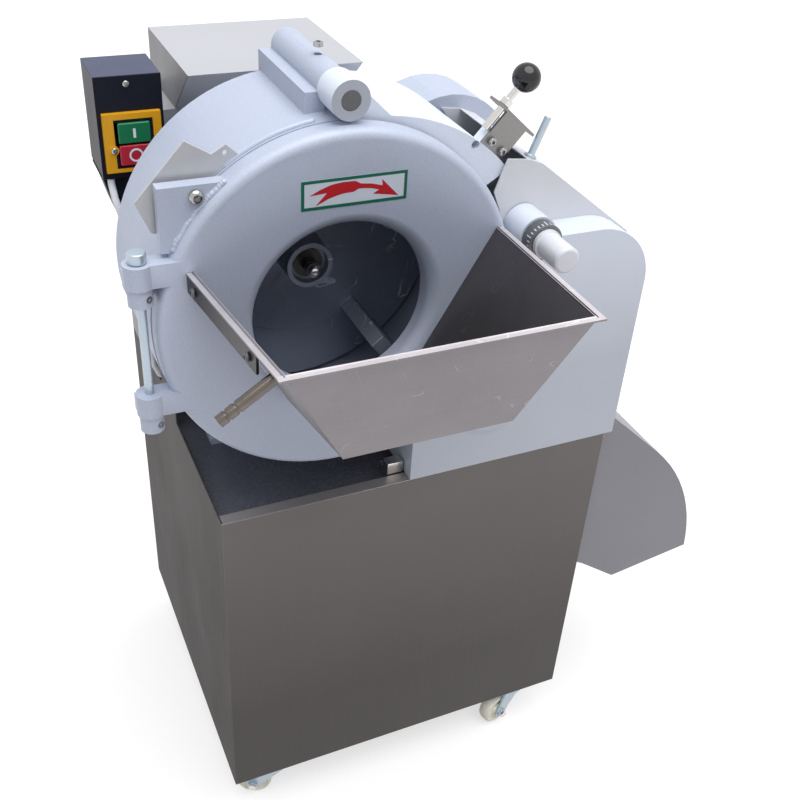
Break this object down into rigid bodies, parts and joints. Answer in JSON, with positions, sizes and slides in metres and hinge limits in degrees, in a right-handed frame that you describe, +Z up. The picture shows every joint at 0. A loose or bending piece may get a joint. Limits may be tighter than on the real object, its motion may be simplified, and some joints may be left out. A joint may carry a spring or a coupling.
{
  "type": "industrial vegetable dicer",
  "caption": "Drum-type vegetable dicer on a caster cabinet with a hinged feed door and hopper, slice gate with dial, cutters, push-button switch and side chute.",
  "frame": {"origin": "on the floor, under the middle of the whole machine's box", "axes": "+X right and +Y to the back, seen from the hopper side; +Z up"},
  "size_m": [0.781, 0.679, 1.025],
  "materials": {
    "stainless": "brushed stainless sheet with soft vertical grain",
    "dark_plate": "dark reflecting sheet, wet from use",
    "cast_grey": "silver-grey paint on cast aluminium",
    "hood_sheet": "pale grey painted sheet",
    "rotor_steel": "scratched cast impeller",
    "bright_steel": "turned and polished steel",
    "zinc": "zinc-plated steel",
    "blade_steel": "ground blade steel",
    "iron": "cast iron",
    "motor_paint": "grey-blue motor enamel",
    "black_plastic": "black moulded plastic",
    "black_gloss": "polished black ball",
    "yellow_plastic": "yellow moulded plastic",
    "green_plastic": "green button",
    "red_plastic": "red button",
    "white_plastic": "white cable jacket",
    "belt_rubber": "black belt rubber",
    "nylon": "cream nylon",
    "dial_grey": "dark graduated ring"
  },
  "bodies": {
    "machine": {"base_pan": "stainless", "cabinet_shell": "stainless", "front_panel": "stainless", "top_plate": "dark_plate", "panel_screws": "bright_steel", "drum_case": "cast_grey", "pivot_pin": "bright_steel", "pivot_screw": "zinc", "gear_case": "cast_grey", "belt_guard": "stainless", "upper_cover": "stainless", "motor": "motor_paint", "drive_belt": "belt_rubber", "cutter_housing": "cast_grey", "front_cover": "cast_grey", "cutter_hood": "hood_sheet", "hood_stud": "zinc", "slicing_knife": "blade_steel", "discharge_chute": "stainless", "switch_box": "black_plastic", "switch_bezel": "yellow_plastic", "switch_screws": "bright_steel", "switch_cable": "white_plastic", "hinge_rod": "zinc", "interlock_plate": "stainless", "stop_block": "bright_steel", "mains_gland": "black_plastic", "caster_plates": "zinc"},
    "door": {"front_door": "cast_grey", "door_bolt": "bright_steel", "hopper": "stainless", "hopper_bar": "stainless", "hopper_screws": "bright_steel", "hopper_pin": "bright_steel"},
    "gate": {"slice_gate": "cast_grey", "lock_bracket": "zinc", "bracket_screws": "bright_steel"},
    "plunger": {"lock_plunger": "bright_steel", "plunger_ball": "black_gloss"},
    "dial": {"dial_ring": "dial_grey", "dial_cap": "hood_sheet"},
    "rotor": {"main_shaft": "bright_steel", "impeller": "rotor_steel", "impeller_nut": "bright_steel", "large_pulley": "iron"},
    "motor_rotor": {"motor_pulley": "iron"},
    "cross_rotor": {"cross_cutter": "blade_steel"},
    "strip_rotor": {"strip_cutter": "blade_steel"},
    "start_key": {"start_button": "green_plastic"},
    "stop_key": {"stop_button": "red_plastic"},
    "swivel_front_left": {"fork_front_left": "zinc"},
    "roller_front_left": {"wheel_front_left": "nylon"},
    "swivel_front_right": {"fork_front_right": "zinc"},
    "roller_front_right": {"wheel_front_right": "nylon"},
    "swivel_back_left": {"fork_back_left": "zinc"},
    "roller_back_left": {"wheel_back_left": "nylon"},
    "swivel_back_right": {"fork_back_right": "zinc"},
    "roller_back_right": {"wheel_back_right": "nylon"}
  },
  "joints": [
    {"name": "door_swing", "type": "hinge", "parent": "machine", "child": "door", "pos_m": [-0.3765, -0.1095, 0.78], "axis": [0, 0, -1], "range_deg": [0, 105]},
    {"name": "dial_turn", "type": "hinge", "parent": "machine", "child": "dial", "pos_m": [0.0405, -0.1295, 0.839], "axis": [0, 1, 0], "range_deg": [0, 270.01]},
    {"name": "gate_lift", "type": "hinge", "parent": "machine", "child": "gate", "pos_m": [-0.1685, -0.0295, 0.996], "axis": [0, -1, 0], "range_deg": [0, 5]},
    {"name": "plunger_pull", "type": "slide", "parent": "gate", "child": "plunger", "axis": [0.6561, 0, 0.7547], "range_m": [0, 0.012], "stiffness_N_per_m": 500},
    {"name": "impeller_spin", "type": "hinge", "parent": "machine", "child": "rotor", "pos_m": [-0.1725, -0.0295, 0.78], "axis": [0, 1, 0], "continuous": true},
    {"name": "motor_spin", "type": "hinge", "parent": "machine", "child": "motor_rotor", "pos_m": [-0.1065, 0.2505, 0.165], "axis": [0, 1, 0], "continuous": true},
    {"name": "cross_spin", "type": "hinge", "parent": "machine", "child": "cross_rotor", "pos_m": [0.0825, -0.0295, 0.762], "axis": [0, 1, 0], "continuous": true},
    {"name": "strip_spin", "type": "hinge", "parent": "machine", "child": "strip_rotor", "pos_m": [0.1075, -0.0295, 0.652], "axis": [0, 1, 0], "continuous": true},
    {"name": "start_press", "type": "slide", "parent": "machine", "child": "start_key", "axis": [0, 1, 0], "range_m": [0, 0.004], "stiffness_N_per_m": 400},
    {"name": "stop_press", "type": "slide", "parent": "machine", "child": "stop_key", "axis": [0, 1, 0], "range_m": [0, 0.004], "stiffness_N_per_m": 400},
    {"name": "swivel_turn_front_left", "type": "hinge", "parent": "machine", "child": "swivel_front_left", "pos_m": [-0.2565, -0.1025, 0.062], "axis": [0, 0, 1], "continuous": true},
    {"name": "wheel_roll_front_left", "type": "hinge", "parent": "swivel_front_left", "child": "roller_front_left", "pos_m": [-0.28006, -0.09151, 0.025], "axis": [-0.4226, -0.9063, 0], "continuous": true},
    {"name": "swivel_turn_front_right", "type": "hinge", "parent": "machine", "child": "swivel_front_right", "pos_m": [0.1235, -0.1025, 0.062], "axis": [0, 0, 1], "continuous": true},
    {"name": "wheel_roll_front_right", "type": "hinge", "parent": "swivel_front_right", "child": "roller_front_right", "pos_m": [0.09839, -0.10923, 0.025], "axis": [0.2588, -0.9659, 0], "continuous": true},
    {"name": "swivel_turn_back_left", "type": "hinge", "parent": "machine", "child": "swivel_back_left", "pos_m": [-0.2565, 0.2885, 0.062], "axis": [0, 0, 1], "continuous": true},
    {"name": "wheel_roll_back_left", "type": "hinge", "parent": "swivel_back_left", "child": "roller_back_left", "pos_m": [-0.27902, 0.2755, 0.025], "axis": [0.5, -0.866, 0], "continuous": true},
    {"name": "swivel_turn_back_right", "type": "hinge", "parent": "machine", "child": "swivel_back_right", "pos_m": [0.1235, 0.2885, 0.062], "axis": [0, 0, 1], "continuous": true},
    {"name": "wheel_roll_back_right", "type": "hinge", "parent": "swivel_back_right", "child": "roller_back_right", "pos_m": [0.09789, 0.29302, 0.025], "axis": [-0.1736, -0.9848, 0], "continuous": true}
  ],
  "couplings": [
    {"joint": "dial_turn", "follows": "gate_lift", "ratio": 54},
    {"joint": "motor_spin", "follows": "impeller_spin", "ratio": 2.25},
    {"joint": "cross_spin", "follows": "impeller_spin", "ratio": 4},
    {"joint": "strip_spin", "follows": "impeller_spin", "ratio": -6}
  ]
}
